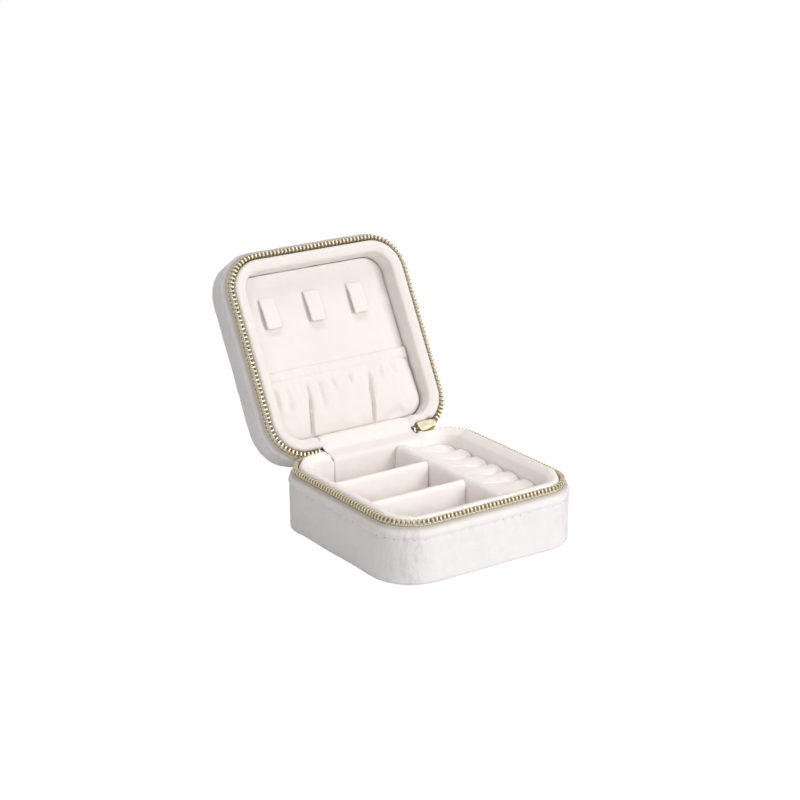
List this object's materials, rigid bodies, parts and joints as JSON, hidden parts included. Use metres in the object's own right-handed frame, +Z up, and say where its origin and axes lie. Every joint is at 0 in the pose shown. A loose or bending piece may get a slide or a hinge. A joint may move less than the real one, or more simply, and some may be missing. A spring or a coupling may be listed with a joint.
{
  "type": "zip jewellery case",
  "caption": "Small square padded jewellery case with a metal zip; base with trays and ring rolls, hinged lid with necklace straps and a gathered pocket.",
  "frame": {"origin": "centre of the flat underside of the base", "axes": "+Z up, +Y towards the hinge, +X towards the ring bay"},
  "size_m": [0.1, 0.1585, 0.113],
  "materials": {
    "outer_velvet": "off-white short-pile velvet",
    "lining_velvet": "warm white short-pile velvet",
    "zip_tape": "woven polyester tape",
    "gold_metal": "polished pale gold plating",
    "card": "grey board",
    "foam": "open-cell foam",
    "elastic": "woven elastic"
  },
  "bodies": {
    "base": {"base_band": "outer_velvet", "base_bottom_cover": "outer_velvet", "base_bottom_board": "card", "base_side_board": "card", "base_wall_foam": "foam", "base_lining": "lining_velvet", "base_floor_pad": "lining_velvet", "base_zip_tape": "zip_tape", "base_zip_teeth": "gold_metal", "base_zip_stops": "gold_metal", "base_hinge_cloth": "lining_velvet", "base_spine_cloth": "outer_velvet", "long_divider": "lining_velvet", "rear_divider": "lining_velvet", "front_divider": "lining_velvet", "divider_cards": "card", "ring_roll_1": "lining_velvet", "ring_roll_2": "lining_velvet", "ring_roll_3": "lining_velvet", "ring_roll_4": "lining_velvet", "ring_roll_5": "lining_velvet", "ring_roll_6": "lining_velvet", "ring_roll_7": "lining_velvet"},
    "lid": {"lid_band": "outer_velvet", "lid_top_cover": "outer_velvet", "lid_top_board": "card", "lid_side_board": "card", "lid_wall_foam": "foam", "lid_lining": "lining_velvet", "lid_panel_pad": "lining_velvet", "lid_panel_card": "card", "lid_zip_tape": "zip_tape", "lid_zip_teeth": "gold_metal", "lid_zip_stops": "gold_metal", "lid_hinge_cloth": "lining_velvet", "lid_spine_cloth": "outer_velvet", "pocket_cloth": "lining_velvet", "pocket_hem": "lining_velvet", "pocket_elastic": "elastic", "snap_studs": "gold_metal"},
    "slider": {"zip_slider": "gold_metal"},
    "pull": {"zip_pull": "gold_metal"},
    "left_strap": {"strap_left": "lining_velvet", "socket_left": "gold_metal"},
    "middle_strap": {"strap_middle": "lining_velvet", "socket_middle": "gold_metal"},
    "right_strap": {"strap_right": "lining_velvet", "socket_right": "gold_metal"}
  },
  "joints": [
    {"name": "lid_hinge", "type": "hinge", "parent": "base", "child": "lid", "pos_m": [0, 0.0478, 0.0286], "axis": [1, 0, 0], "range_deg": [0, 118.8]},
    {"name": "slider_tilt", "type": "hinge", "parent": "base", "child": "slider", "pos_m": [0, 0.0478, 0.0286], "axis": [1, 0, 0], "range_deg": [0, 59.4]},
    {"name": "pull_swing", "type": "hinge", "parent": "slider", "child": "pull", "pos_m": [0.03325, 0.04907, 0.02645], "axis": [0, 0.8607, 0.509], "range_deg": [-55, 55]},
    {"name": "strap_left_lift", "type": "hinge", "parent": "lid", "child": "left_strap", "pos_m": [-0.0265, 0.09223, 0.09125], "axis": [-1, 0, 0], "range_deg": [0, 100]},
    {"name": "strap_middle_lift", "type": "hinge", "parent": "lid", "child": "middle_strap", "pos_m": [-0.0025, 0.09223, 0.09125], "axis": [-1, 0, 0], "range_deg": [0, 100]},
    {"name": "strap_right_lift", "type": "hinge", "parent": "lid", "child": "right_strap", "pos_m": [0.0215, 0.09223, 0.09125], "axis": [-1, 0, 0], "range_deg": [0, 100]}
  ],
  "couplings": [
    {"joint": "slider_tilt", "follows": "lid_hinge", "ratio": 0.5}
  ]
}
